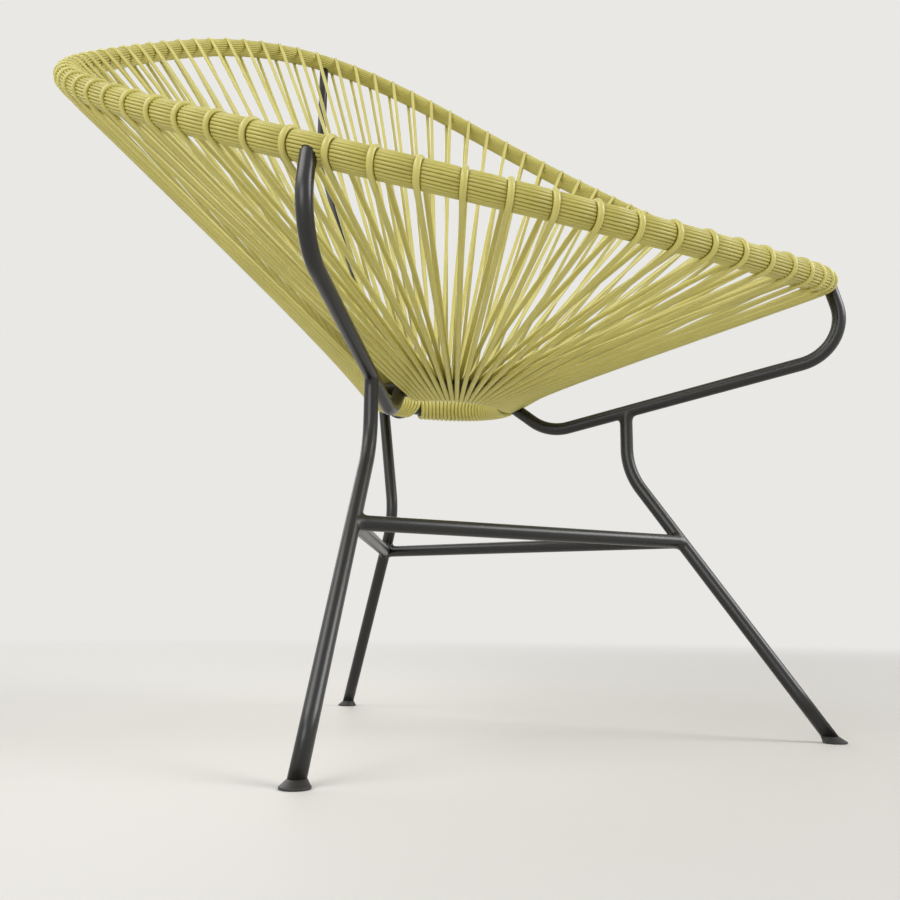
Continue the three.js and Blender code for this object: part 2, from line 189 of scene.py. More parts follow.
def noise(tree, place, size, detail=3.0, roughness=0.5):
    # Noise whose lumps are about size millimetres across, on coordinates in metres
    settings = {"Scale": 1 / (size * mm), "Detail": detail, "Roughness": roughness}
    return addNode(tree, "ShaderNodeTexNoise", settings, {"Vector": place}).outputs["Fac"]


def bump(tree, height, distance, below=None):
    # A bump whose full height is distance millimetres
    links = {"Height": height}
    if below is not None:
        links["Normal"] = below
    settings = {"Strength": 1.0, "Distance": distance * mm}
    return addNode(tree, "ShaderNodeBump", settings, links).outputs["Normal"]


def nearFloor(tree, place, height):
    # 1 at the floor, falling evenly to 0 at a height in millimetres
    parts = addNode(tree, "ShaderNodeSeparateXYZ", links={"Vector": place})
    settings = {"From Min": 0.0, "From Max": height * mm, "To Min": 1.0, "To Max": 0.0}
    return addNode(tree, "ShaderNodeMapRange", settings, {"Value": parts.outputs["Z"]}).outputs["Result"]


def multiply(tree, first, second):
    links = {0: first, 1: second}
    return addNode(tree, "ShaderNodeMath", {"operation": "MULTIPLY"}, links).outputs["Value"]


def mixColour(tree, share, first, code):
    # first, turned towards a hex colour by share. A Mix node takes its two colours at sockets 6 and 7.
    node = addNode(tree, "ShaderNodeMix", {"data_type": "RGBA"})
    tree.links.new(share, node.inputs[0])
    tree.links.new(first, node.inputs[6])
    node.inputs[7].default_value = hexColour(code)
    return node.outputs[2]


def finishMaterial(tree, settings, colour, roughness, normal):
    links = {"Base Color": colour, "Roughness": roughness, "Normal": normal}
    shader = addNode(tree, "ShaderNodeBsdfPrincipled", settings, links)
    addNode(tree, "ShaderNodeOutputMaterial", links={"Surface": shader.outputs["BSDF"]})


def makePowderCoat():
    values = powderCoatOnSteel
    material, tree = newMaterial("powder coat on steel")
    place = addNode(tree, "ShaderNodeTexCoord").outputs["Object"]
    clouds = noise(tree, place, values["cloudSize"])
    lumps = noise(tree, place, *values["dustLumps"])
    dust = multiply(tree, nearFloor(tree, place, values["dustHeight"]), lumps)
    colour = mixColour(tree, dust, colourRamp(tree, clouds, values["colours"]), values["dustColour"])
    roughness = spread(tree, clouds, *values["roughness"])
    normal = bump(tree, noise(tree, place, *values["peelLumps"]), values["peelHeight"])
    finishMaterial(tree, values["shader"], colour, roughness, normal)
    return material


def makePvc(name, values):
    material, tree = newMaterial(name)
    coordinates = addNode(tree, "ShaderNodeTexCoord")
    place = coordinates.outputs["Object"]
    clouds = noise(tree, place, values["cloudSize"])
    colour = colourRamp(tree, clouds, values["colours"])
    roughness = spread(tree, noise(tree, place, values["sheenSize"]), *values["roughness"])
    parts = addNode(tree, "ShaderNodeSeparateXYZ", links={"Vector": coordinates.outputs["UV"]})
    turns = addNode(tree, "ShaderNodeMath", {"operation": "MULTIPLY", 1: circle * values["dieLines"]},
                    {0: parts.outputs["X"]})
    lines = addNode(tree, "ShaderNodeMath", {"operation": "SINE"}, {0: turns.outputs["Value"]})
    lined = bump(tree, lines.outputs["Value"], values["lineHeight"])
    normal = bump(tree, noise(tree, place, values["skinSize"]), values["skinHeight"], lined)
    finishMaterial(tree, values["shader"], colour, roughness, normal)
    return material


def makeNylon():
    values = mouldedNylonFoot
    material, tree = newMaterial("moulded nylon")
    place = addNode(tree, "ShaderNodeTexCoord").outputs["Object"]
    grain = noise(tree, place, values["grainSize"])
    lumps = noise(tree, place, *values["scuffLumps"])
    scuffs = multiply(tree, nearFloor(tree, place, values["scuffHeight"]), lumps)
    colour = mixColour(tree, scuffs, colourRamp(tree, grain, values["colours"]), values["scuffColour"])
    roughness = spread(tree, grain, *values["roughness"])
    finishMaterial(tree, values["shader"], colour, roughness, bump(tree, grain, values["grainHeight"]))
    return material


materials = {
    "frame": makePowderCoat(),
    "cord": makePvc("flexible PVC cord", flexiblePvcCord),
    "strand": makePvc("thin PVC strand", thinPvcStrandPaintedShade),
    "foot": makeNylon(),
}
print("materials made:", len(materials))


# Surfaces

def unit(vectors):
    return vectors / np.linalg.norm(vectors, axis=-1, keepdims=True)


def dot(first, second):
    return np.sum(first * second, axis=-1, keepdims=True)


def tangents(points, closed):
    # The unit directions along a row of points, from each one's two neighbours
    if closed:
        return unit(np.roll(points, -1, axis=0) - np.roll(points, 1, axis=0))
    return unit(np.gradient(points, axis=0))


def tubeGrid(points, directions, outward, halfHeight, halfWidth, sides):
    # Point along the path + outward x halfHeight x cos(turn) + sideways x halfWidth x sin(turn), where
    # outward is made square to the path, and sideways is direction x outward
    turn = circle * np.arange(sides)[None, :, None] / sides
    outward = unit(outward - directions * dot(outward, directions))
    sideways = np.cross(directions, outward)
    high = np.broadcast_to(halfHeight, len(points))[:, None, None]
    wide = np.broadcast_to(halfWidth, len(points))[:, None, None]
    section = high * outward[:, None, :] * np.cos(turn) + wide * sideways[:, None, :] * np.sin(turn)
    return points[:, None, :] + section


def gridMesh(name, grid, closedAlong, capped):
    # Quads over a grid of points in millimetres, always closed the second way round. Its UV map runs from 0
    # to 1 round the surface, and along it in metres.
    rows, columns = grid.shape[:2]
    i, k = np.meshgrid(np.arange(rows if closedAlong else rows - 1), np.arange(columns), indexing="ij")
    nextI = (i + 1) % rows
    nextK = (k + 1) % columns
    corners = [i * columns + k, i * columns + nextK, nextI * columns + nextK, nextI * columns + k]
    quads = np.stack(corners, axis=-1).reshape(-1, 4)
    faces = quads.tolist()
    step = np.linalg.norm(np.diff(grid[:, 0], axis=0, append=grid[:1, 0]), axis=1)
    along = np.concatenate([[0], np.cumsum(step)]) * mm
    u = np.stack([k, k + 1, k + 1, k], axis=-1) / columns
    v = np.stack([along[i], along[i], along[i + 1], along[i + 1]], axis=-1)
    uv = np.stack([u, v], axis=-1).reshape(-1, 2)
    if capped:
        last = (rows - 1) * columns
        faces += [list(range(columns - 1, -1, -1)), list(range(last, last + columns))]
        uv = np.concatenate([uv, np.zeros((2 * columns, 2))])
    mesh = bpy.data.meshes.new(name)
    mesh.from_pydata((grid.reshape(-1, 3) * mm).tolist(), [], faces)
    layer = mesh.uv_layers.new(name="surface")
    layer.data.foreach_set("uv", uv.astype(np.float32).ravel())
    mesh.polygons.foreach_set("use_smooth", np.ones(len(faces), dtype=bool))
    mesh.update()
    return mesh


def joinMeshes(name, meshes):
    # One mesh from several, as loose parts of one piece
    if len(meshes) == 1:
        return meshes[0]
    things = [bpy.data.objects.new(name, mesh) for mesh in meshes]
    for thing in things:
        bpy.context.collection.objects.link(thing)
    with bpy.context.temp_override(
        active_object=things[0], object=things[0], selected_objects=things, selected_editable_objects=things,
    ):
        bpy.ops.object.join()
    mesh = things[0].data
    bpy.data.objects.remove(things[0])
    return mesh


def makePiece(name, meshes, slot, *nodes):
    mesh = joinMeshes(name, meshes)
    mesh.name = name
    mesh.materials.clear()
    mesh.materials.append(materials[slot])
    piece = bpy.data.objects.new(name, mesh)
    bpy.context.collection.objects.link(piece)
    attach(piece, "root")
    if nodes:
        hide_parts(*nodes)
    return piece


# Rim hoop: an egg, tilted back, and bowed so that its sides hang lower than its ends. Its angle is 0 at the
# front and grows towards +X, and so does the ring's.

rimHoop = {
    "tubeDiameter": 16.0,
    "halfWidth": 376.6,
    "halfLength": 420.0,
    "bow": 25.6,
    "centreHeight": 591.8,
    "tilt": math.radians(35.45),
    "acrossShares": (1, 0.032, 0.024, 0.002, 0.003),
    "alongShares": (1, -0.028, 0.036, -0.018, -0.007),
    "bowShares": (1, -0.18, 0.07, -0.05),
    "steps": 288,
    "sides": 24,
}
rimTilt = rimHoop["tilt"]
rimNormal = np.array([0, -math.sin(rimTilt), math.cos(rimTilt)])


def waves(shares, wave, firstCount, angle):
    # The sum of share x wave(count x angle), with counts from firstCount up
    return sum(share * wave((order + firstCount) * angle) for order, share in enumerate(shares))


def rimPoint(angle):
    # Across: half width x sines. Along: half length x cosines, tilted back. Raised: bow x cosines, square
    # to the tilted plane.
    angle = np.asarray(angle, dtype=float)
    across = rimHoop["halfWidth"] * waves(rimHoop["acrossShares"], np.sin, 1, angle)
    along = -rimHoop["halfLength"] * waves(rimHoop["alongShares"], np.cos, 1, angle)
    raised = rimHoop["bow"] * waves(rimHoop["bowShares"], np.cos, 2, angle)
    back = along * math.cos(rimTilt) - raised * math.sin(rimTilt)
    height = rimHoop["centreHeight"] + along * math.sin(rimTilt) + raised * math.cos(rimTilt)
    return np.stack([across, back, height], axis=-1)


def rimTangent(angle):
    nudge = math.radians(0.5)
    return unit(rimPoint(angle + nudge) - rimPoint(angle - nudge))


def makeRimHoop():
    angle = circle * np.arange(rimHoop["steps"]) / rimHoop["steps"]
    directions = rimTangent(angle)
    radius = rimHoop["tubeDiameter"] / 2
    outward = np.cross(directions, rimNormal)
    grid = tubeGrid(rimPoint(angle), directions, outward, radius, radius, rimHoop["sides"])
    makePiece("rimHoop", [gridMesh("rimHoop", grid, True, False)], "frame", "rim_hoop")


# Seat ring: a circle of the same tube, tipped a little

seatRing = {
    "tubeDiameter": 16.0,
    "radius": 64.5,
    "centreHeight": 316.0,
    "setback": -16.0,
    "tilt": math.radians(4),
    "steps": 128,
    "sides": 32,
}


def ringPoint(angle):
    # A circle: across = radius x sin, along = -radius x cos, tipped about the X axis
    angle = np.asarray(angle, dtype=float)
    along = -seatRing["radius"] * np.cos(angle)
    back = seatRing["setback"] + along * math.cos(seatRing["tilt"])
    height = seatRing["centreHeight"] + along * math.sin(seatRing["tilt"])
    return np.stack([seatRing["radius"] * np.sin(angle), back, height], axis=-1)


def ringTangent(angle):
    angle = np.asarray(angle, dtype=float)
    tilt = seatRing["tilt"]
    return np.stack([np.cos(angle), np.sin(angle) * math.cos(tilt), np.sin(angle) * math.sin(tilt)], axis=-1)


def makeSeatRing():
    angle = circle * np.arange(seatRing["steps"]) / seatRing["steps"]
    centre = np.array([0, seatRing["setback"], seatRing["centreHeight"]])
    radius = seatRing["tubeDiameter"] / 2
    points = ringPoint(angle)
    grid = tubeGrid(points, ringTangent(angle), points - centre, radius, radius, seatRing["sides"])
    makePiece("seatRing", [gridMesh("seatRing", grid, True, False)], "frame", "seat_ring")


makeRimHoop()
makeSeatRing()
print("hoop and ring made")


# Side frames: an arm, a leg and a foot in one upright plane. The three planes meet in one upright line.

planesSetback = 35.6
loops = {"front": 17, "side": 33, "all": 83}
loopAngle = circle / loops["all"]
armRimAngle = loops["front"] / 2 * loopAngle

tubes = {
    "armDiameter": 12.0,
    "legDiameter": 12.0,
    "stretcherDiameter": 12.0,
    "armLowBend": 45.0,
    "armHighBend": 42.0,
    "kneeBend": 68.0,
    "armTipDrop": 3.0,
    "stretcherHeight": 171.0,
    "sides": 40,
    "bendSteps": 16,
    "runSteps": 6,
}

frontSizes = {
    "armLowReach": 140.0, "armLowHeight": 281.0, "armHighReach": 420.5, "armHighHeight": 337.1,
    "armTipSetout": 4.2, "legTopShare": 0.275, "kneeReach": 217.2, "kneeHeight": 239.0, "footReach": 386.6,
}
rearSizes = {
    "armLowReach": 64.4, "armLowHeight": 318.0, "armHighReach": 315.0, "armHighHeight": 733.6,
    "armTipSetout": 1.0, "legTopShare": 0.131, "kneeReach": 58.6, "kneeHeight": 206.5, "footReach": 170.9,
}


def sideFrame(name, piece, rimAngle, sizes):
    rim = rimPoint(rimAngle)
    bearing = unit(np.array([rim[0], rim[1] - planesSetback, 0.0]))
    reach = dot(rim - np.array([0, planesSetback, 0]), bearing)[0]
    return {"name": name, "piece": piece, "bearing": bearing, "rimReach": reach, "rimHeight": rim[2], **sizes}


sideFrames = [
    sideFrame("front_right", "FrontRight", -armRimAngle, frontSizes),
    sideFrame("front_left", "FrontLeft", armRimAngle, frontSizes),
    sideFrame("rear", "Rear", math.pi, rearSizes),
]
frontRight, frontLeft, rear = sideFrames


def inPlane(side, reach, height):
    return np.array([0, planesSetback, height]) + reach * side["bearing"]


def ringCrossing(side, radius):
    # Where a frame's plane crosses a circle about the ring's middle: its reach, its angle and its slant
    middle = np.array([0, seatRing["setback"] - planesSetback, 0])
    along = dot(middle, side["bearing"])[0]
    aside = np.linalg.norm(middle - along * side["bearing"])
    reach = along + math.sqrt(radius ** 2 - aside ** 2)
    point = inPlane(side, reach, 0)
    angle = math.atan2(point[0], seatRing["setback"] - point[1])
    return {"reach": reach, "angle": angle, "slant": math.asin(aside / radius)}


def bentPath(corners, bends):
    # Straight runs between corners, each inner corner rounded: start + inward x bend x (1 - cos(turned))
    # + arriving x bend x sin(turned), for turned from 0 to the corner's turn. Two bends share the run between
    # them, and a bend may use the whole of an end run.
    corners = np.array(corners, dtype=float)
    runs = np.linalg.norm(np.diff(corners, axis=0), axis=1)
    runs[1:-1] /= 2
    stretches = [corners[:1]]
    for k, bend in enumerate(bends):
        before, corner, after = corners[k:k + 3]
        arriving, leaving = unit(corner - before), unit(after - corner)
        turn = math.acos(float(dot(arriving, leaving)[0]))
        bend = min(bend, min(runs[k:k + 2]) / math.tan(turn / 2))
        inward = unit(leaving - arriving * dot(leaving, arriving))
        start = corner - arriving * bend * math.tan(turn / 2)
        turned = np.linspace(0, turn, tubes["bendSteps"] + 1)[:, None]
        arc = start + inward * bend * (1 - np.cos(turned)) + arriving * bend * np.sin(turned)
        run = np.linspace(stretches[-1][-1], arc[0], tubes["runSteps"] + 1)[1:-1]
        stretches += [run, arc]
    stretches.append(np.linspace(stretches[-1][-1], corners[-1], tubes["runSteps"] + 1)[1:])
    return np.concatenate(stretches)


def planeTube(side, points, diameter):
    # A tube whose path lies in a side frame's plane, its sections square to the path
    level = np.cross(side["bearing"], [0, 0, 1])
    directions = tangents(points, False)
    outward = np.broadcast_to(level, points.shape)
    return tubeGrid(points, directions, outward, diameter / 2, diameter / 2, tubes["sides"])


def armCorners(side):
    seat = ringCrossing(side, seatRing["radius"])
    return [
        inPlane(side, seat["reach"], ringPoint(seat["angle"])[2]),
        inPlane(side, side["armLowReach"], side["armLowHeight"]),
        inPlane(side, side["armHighReach"], side["armHighHeight"]),
        inPlane(side, side["rimReach"] + side["armTipSetout"], side["rimHeight"] - tubes["armTipDrop"]),
    ]


def legTop(side):
    _, low, high, _ = armCorners(side)
    return low + (high - low) * side["legTopShare"]


def knee(side):
    return inPlane(side, side["kneeReach"], side["kneeHeight"])


def shinPoint(side, height):
    foot = inPlane(side, side["footReach"], 0)
    return foot + (knee(side) - foot) * height / side["kneeHeight"]


def makeArm(side):
    grid = planeTube(side, bentPath(armCorners(side), (tubes["armLowBend"], tubes["armHighBend"])),
                     tubes["armDiameter"])
    name = "arm" + side["piece"]
    makePiece(name, [gridMesh(name, grid, False, True)], "frame", "arm_" + side["name"])


# A weld's smooth fillet where one tube's end meets another tube's side

weld = {
    "height": 5.5,  # up the branch
    "flare": 4.0,  # out along the main tube
    "tuck": 1.0,  # how far its edges run on under the tubes' surfaces
    "sink": 0.05,  # and how deep
    "depthShare": 0.55,  # where its inner row lies
    "curveSteps": 8,
    "sides": 64,
}


def weldFillet(name, place, branch, main, branchRadius, mainRadius):
    # Round the branch by turn: the edge where its surface meets the main tube is edge(turn). The fillet is
    # (1 - t)^2 x above + 2t(1 - t) x edge + t^2 x flared. Each end runs on for the tuck, sunk just under its
    # tube's surface, and a row of points inside both tubes closes it.
    across = unit(np.cross(branch, main))
    beside = np.cross(across, branch)
    turn = circle * np.arange(weld["sides"])[:, None] / weld["sides"]
    spoke = across * np.cos(turn) + beside * np.sin(turn)

    def flat(vectors):
        return vectors - main * dot(vectors, main)

    def onMain(points, radius):
        apart = flat(points - place)
        return points - apart + unit(apart) * radius

    flatBranch, flatSpoke = flat(branch), flat(spoke)
    middle = branchRadius * dot(flatSpoke, flatBranch)
    inside = middle ** 2 - dot(flatBranch, flatBranch) * (
        branchRadius ** 2 * dot(flatSpoke, flatSpoke) - mainRadius ** 2)
    rise = (-middle + np.sqrt(np.maximum(inside, 0))) / dot(flatBranch, flatBranch)
    above = place + branch * (rise + weld["height"]) + spoke * branchRadius
    edge = onMain(place + branch * rise + spoke * branchRadius, mainRadius)
    flared = onMain(place + branch * rise + spoke * (branchRadius + weld["flare"]), mainRadius)
    under = above + branch * weld["tuck"] - spoke * weld["sink"]
    beyond = onMain(flared + spoke * weld["tuck"], mainRadius - weld["sink"])
    inner = place + branch * rise * weld["depthShare"] + spoke * branchRadius * weld["depthShare"]
    t = np.linspace(0, 1, weld["curveSteps"] + 1)[:, None, None]
    curve = (1 - t) ** 2 * above + 2 * t * (1 - t) * edge + t ** 2 * flared
    rows = np.concatenate([under[None], curve, beyond[None], inner[None]])
    return gridMesh(name, rows[::-1], True, False)


foot = {
    "diameter": 20.0,
    "edgeHeight": 1.5,
    "height": 5.5,
    "roundEdge": 0.5,
    "poleRadius": 0.05,  # of the tiny caps that close the lathed shape
    "sides": 64,
}


def makeLeg(side):
    name = "leg" + side["piece"]
    path = bentPath([legTop(side), knee(side), shinPoint(side, foot["height"])], (tubes["kneeBend"],))
    grid = planeTube(side, path, tubes["legDiameter"])
    shin = unit(shinPoint(side, 0) - knee(side))
    grid[-1] += shin * (foot["height"] - grid[-1][:, 2:]) / shin[2]  # the end is cut level, on the foot
    _, low, high, _ = armCorners(side)
    down = unit(knee(side) - legTop(side))
    fillet = weldFillet(name, legTop(side), down, unit(high - low), tubes["legDiameter"] / 2,
                        tubes["armDiameter"] / 2)
    makePiece(name, [gridMesh(name, grid, False, True), fillet], "frame", "leg_" + side["name"])


def makeFoot(side):
    # A lathed profile leaned with the leg: X grows by lean x height, and the top is stretched to the tube's
    # level cut, in the frame's own plane
    name = "foot" + side["piece"]
    shin = unit(knee(side) - shinPoint(side, 0))
    lean = dot(shin, side["bearing"])[0] / shin[2]
    radius, edge, pole = foot["diameter"] / 2, foot["roundEdge"], foot["poleRadius"]
    profile = np.array([
        (pole, 0), (radius - edge, 0), (radius, edge), (radius, foot["edgeHeight"]),
        (radius - edge, foot["edgeHeight"] + edge / 2),
        (tubes["legDiameter"] / 2 + edge, foot["height"] - edge),
        (tubes["legDiameter"] / 2, foot["height"]), (pole, foot["height"]),
    ])
    width, height = profile[:, :1], profile[:, 1:]
    share = np.clip((height - foot["edgeHeight"]) / (foot["height"] - foot["edgeHeight"]), 0, 1)
    turn = circle * np.arange(foot["sides"])[None, :] / foot["sides"]
    outwards = width * np.cos(turn) * (1 + share * (1 / shin[2] - 1)) + lean * share * foot["height"]
    sideways = width * np.sin(turn)
    level = np.cross([0, 0, 1], side["bearing"])
    grid = inPlane(side, side["footReach"], 0) + outwards[..., None] * side["bearing"]
    grid = grid + sideways[..., None] * level + height[..., None] * np.array([0, 0, 1.0])
    makePiece(name, [gridMesh(name, grid, False, True)], "foot", "foot_" + side["name"])


for side in sideFrames:
    makeArm(side)
    makeLeg(side)
    makeFoot(side)
print("arms, legs and feet made")


# Stretchers, each from leg to leg, narrowed a little at its ends, inside the welds

stretcher = {"endLength": 6.0, "endShare": 0.9, "endSteps": 5, "middleSteps": 8}


def makeStretcher(name, node, first, second):
    start, end = shinPoint(first, tubes["stretcherHeight"]), shinPoint(second, tubes["stretcherHeight"])
    length = np.linalg.norm(end - start)
    direction = unit(end - start)
    taper = stretcher["endLength"]
    along = np.concatenate([
        np.linspace(0, taper, stretcher["endSteps"]),
        np.linspace(taper, length - taper, stretcher["middleSteps"])[1:-1],
        np.linspace(length - taper, length, stretcher["endSteps"]),
    ])
    points = start + direction * along[:, None]
    near = np.clip(np.minimum(along, length - along) / taper, 0, 1)
    radius = tubes["stretcherDiameter"] / 2 * (stretcher["endShare"] + (1 - stretcher["endShare"]) * near)
    upright = np.broadcast_to([0.0, 0.0, 1.0], points.shape)
    directions = np.broadcast_to(direction, points.shape)
    grid = tubeGrid(points, directions, upright, radius, radius, tubes["sides"])
    meshes = [gridMesh(name, grid, False, True)]
    for side, place, away in ((first, start, direction), (second, end, -direction)):
        shin = unit(knee(side) - shinPoint(side, 0))
        radii = tubes["stretcherDiameter"] / 2, tubes["legDiameter"] / 2
        meshes.append(weldFillet(name, place, away, shin, *radii))
    makePiece(name, meshes, "frame", node)


makeStretcher("stretcherFront", "stretcher_front", frontRight, frontLeft)
makeStretcher("stretcherRight", "stretcher_right", frontRight, rear)
makeStretcher("stretcherLeft", "stretcher_left", frontLeft, rear)
print("stretchers made")


# Seat cord. A loop is a belt round the rim and the ring: up outside, over the rim, down inside and under
# the ring.

seatCord = {
    "diameter": 4.5,
    "clearance": 0.1,  # between the cord and what it is wound on
    "rimWrapRadius": 10.4,  # from the hoop's middle line to the cord's, which sinks between the strands
    "pressedShare": 0.83,  # the cord's height over the rim, where it is pulled flat
    "widenedShare": 1.1,  # and its width there
    "leastGap": 0.12,
    "partingGap": 0.75,  # beside the arms' ends, where the loops part
    "wrapSteps": 14,
    "runPlaces": (0.012, 0.03, 0.07, 0.2, 0.5, 0.8, 0.95),
    "lean": (0.03, 0.75),  # where along its way under the ring a wrap leans over to the next loop
    "cutShare": 1 / 3,  # where under the ring one length ends and the next begins
    "sides": 12,
}
cordRadius = seatCord["diameter"] / 2
ringWrapRadius = seatRing["tubeDiameter"] / 2 + seatCord["clearance"] + cordRadius

seatInside = ringCrossing(frontLeft, seatRing["radius"])
ringOutside = seatRing["radius"] + seatRing["tubeDiameter"] / 2
seatOutside = ringCrossing(frontLeft, ringOutside + seatCord["diameter"])
seatHalfWidth = tubes["armDiameter"] / 2 / math.cos(seatInside["slant"]) + cordRadius + seatCord["partingGap"]
seatHalfAngle = seatHalfWidth / ringOutside
seatIndex = math.floor(seatInside["angle"] / loopAngle)
lastIndex = (loops["all"] - 1) // 2


def outerAngle(index):
    # The ring angle of a loop's outer side. The loops part evenly to leave room for the arms' ends: they run
    # straight through these (loop, angle) points.
    index = np.asarray(index, dtype=float)
    turns = np.round(index / loops["all"])
    within = index - turns * loops["all"]
    count = np.abs(within)
    counts = [0, seatIndex, seatIndex + 1, lastIndex]
    angles = [
        0, seatOutside["angle"] - seatHalfAngle, seatInside["angle"] + seatHalfAngle, math.pi - seatHalfAngle,
    ]
    return turns * circle + np.sign(within) * np.interp(count, counts, angles)


def beltPoint(centre, tangent, pull, turn, radius):
    # centre + outward x radius x cos(turn) + pull x radius x sin(turn) / sin(the angle between tangent
    # and pull). Turn 0 is the outer side, and a quarter turn is the side along the pull.
    outward = unit(np.cross(tangent, pull))
    slant = np.sqrt(1 - dot(tangent, pull) ** 2)
    turn = turn[..., None]
    return centre + outward * radius * np.cos(turn) + pull * radius * np.sin(turn) / slant


def sideAlong(tangent, pull):
    return unit(tangent - pull * dot(tangent, pull))


def rimPull(index):
    # The rim's middle under a loop, the rim's direction there, and the way from the ring to it
    angle = index * loopAngle
    centre = rimPoint(angle)
    ringMiddle = (ringPoint(outerAngle(index)) + ringPoint((index + 0.5) * loopAngle)) / 2
    return centre, rimTangent(angle), unit(centre - ringMiddle)


def rimWrap(index, turn):
    centre, tangent, pull = rimPull(index)
    return beltPoint(centre, tangent, pull, turn, seatCord["rimWrapRadius"]), sideAlong(tangent, pull)


def smooth(share):
    share = np.clip(share, 0, 1)
    return share * share * (3 - 2 * share)


def ringWrap(index, share):
    # Under the ring, from the loop before's inner side (share 0) to this loop's outer side (share 1)
    first, last = seatCord["lean"]
    lean = smooth((share - first) / (last - first))
    inner = (index - 0.5) * loopAngle
    angle = inner + (outerAngle(index) - inner) * lean
    centre = ringPoint(angle)
    pull = unit(rimPoint((index - 1 + share) * loopAngle) - centre)
    tangent = ringTangent(angle)
    return beltPoint(centre, tangent, pull, math.pi * (1 + share), ringWrapRadius), sideAlong(tangent, pull)


def loopPath(index):
    # For an array of loops: the points and the side directions of each, from the cut under the ring, up the
    # outside, over the rim, down the inside and back under the ring to the next cut, and where it is pressed
    steps = seatCord["wrapSteps"]
    cut = seatCord["cutShare"]
    index = np.asarray(index, dtype=float)[:, None]
    ahead = np.linspace(cut, 1, steps + 1)[None]
    over = np.linspace(0, math.pi, steps + 1)[None]
    behind = np.linspace(0, cut, steps // 2 + 1)[None]
    rise, riseSide = ringWrap(index + 0 * ahead, ahead)
    arch, archSide = rimWrap(index + 0 * over, over)
    fall, fallSide = ringWrap(index + 1 + 0 * behind, behind)
    share = np.array(seatCord["runPlaces"])[None, :, None]

    def run(leaving, reaching, places):
        return leaving[:, -1:] * (1 - places) + reaching[:, :1] * places

    back = 1 - share[:, ::-1]
    points = [rise, run(rise, arch, share), arch, run(arch, fall, back), fall[:, :-1]]
    sides = [
        riseSide, run(riseSide, archSide, share), archSide, run(archSide, fallSide, back), fallSide[:, :-1],
    ]
    overRim = [np.full(part.shape[:2], float(part is arch)) for part in points]
    return tuple(np.concatenate(parts, axis=1) for parts in (points, sides, overRim))


def squeezed(points, directions, neighbours):
    # Half the room to the nearer neighbour, measured square to the cord, and no more than the cord's radius
    room = np.full(points.shape[:2], np.inf)
    for other in neighbours:
        apart = other - points
        gap = np.linalg.norm(np.cross(apart, directions), axis=-1)
        room = np.minimum(room, gap)
    return np.minimum(cordRadius, (room - seatCord["leastGap"]) / 2)


def makeCord(name, node, first, last):
    index = np.arange(first, last + 1)
    points, sides, overRim = loopPath(index)
    before = loopPath(index - 1)[0]
    after = loopPath(index + 1)[0]
    endPoint, _ = ringWrap(np.array([[last + 1.0]]), np.array([[seatCord["cutShare"]]]))
    flat = np.concatenate([points.reshape(-1, 3), endPoint[0]])
    directions = tangents(flat, False)
    halfWidth = squeezed(points, directions[:-1].reshape(points.shape), (before, after))
    halfWidth = (halfWidth * (1 + (seatCord["widenedShare"] - 1) * overRim)).reshape(-1)
    halfWidth = np.append(halfWidth, halfWidth[0])
    halfHeight = cordRadius * (1 - (1 - seatCord["pressedShare"]) * np.append(overRim, 0))
    sideways = sides.reshape(-1, 3)
    sideways = np.concatenate([sideways, sideways[-1:]])
    outward = np.cross(sideways, directions)
    grid = tubeGrid(flat, directions, outward, halfHeight, halfWidth, seatCord["sides"])
    makePiece(name, [gridMesh(name, grid, False, True)], "cord", node)
    return float(np.linalg.norm(np.diff(flat, axis=0), axis=1).sum())


def makeSeatCords():
    frontLast = (loops["front"] - 1) // 2
    sideSplit = frontLast + math.ceil(loops["side"] / 2)
    lengths = [
        makeCord("seatCordFront", "seat_cord_front", -frontLast, frontLast),
        makeCord("seatCordLeft", "seat_cord_left", frontLast + 1, sideSplit),
        makeCord("seatCordRearLeft", "seat_cord_rear_left", sideSplit + 1, lastIndex),
        makeCord("seatCordRearRight", "seat_cord_rear_right", -lastIndex, -sideSplit - 1),
        makeCord("seatCordRight", "seat_cord_right", -sideSplit, -frontLast - 1),
    ]
    print("seat cord made, metres:", [round(length * mm, 2) for length in lengths])


makeSeatCords()


# Jacket: thin strands laid along the hoop, side by side all the way round it, each pressed flat by every loop

rimJacket = {
    "strandCount": 24,
    "strandDiameter": 2.5,
    "clearance": 0.05,  # between the hoop and the strands
    "bulge": (0.0, 0.08),  # how far a strand stands off halfway between two loops
    "besideShares": (-0.12, -0.07, 0.07, 0.12),  # rows beside a loop, in shares of the way to the next loop
    "risenShares": (0.95, 0, 0, 0.95),  # how far a strand has risen to its full height in each of them
    "widthShare": 0.96,  # of the way from a strand to the next
    "leastHold": 0.5,  # the least share of its pressing that a loop keeps where it leaves the hoop
    "sides": 8,
    "seed": 5,
}


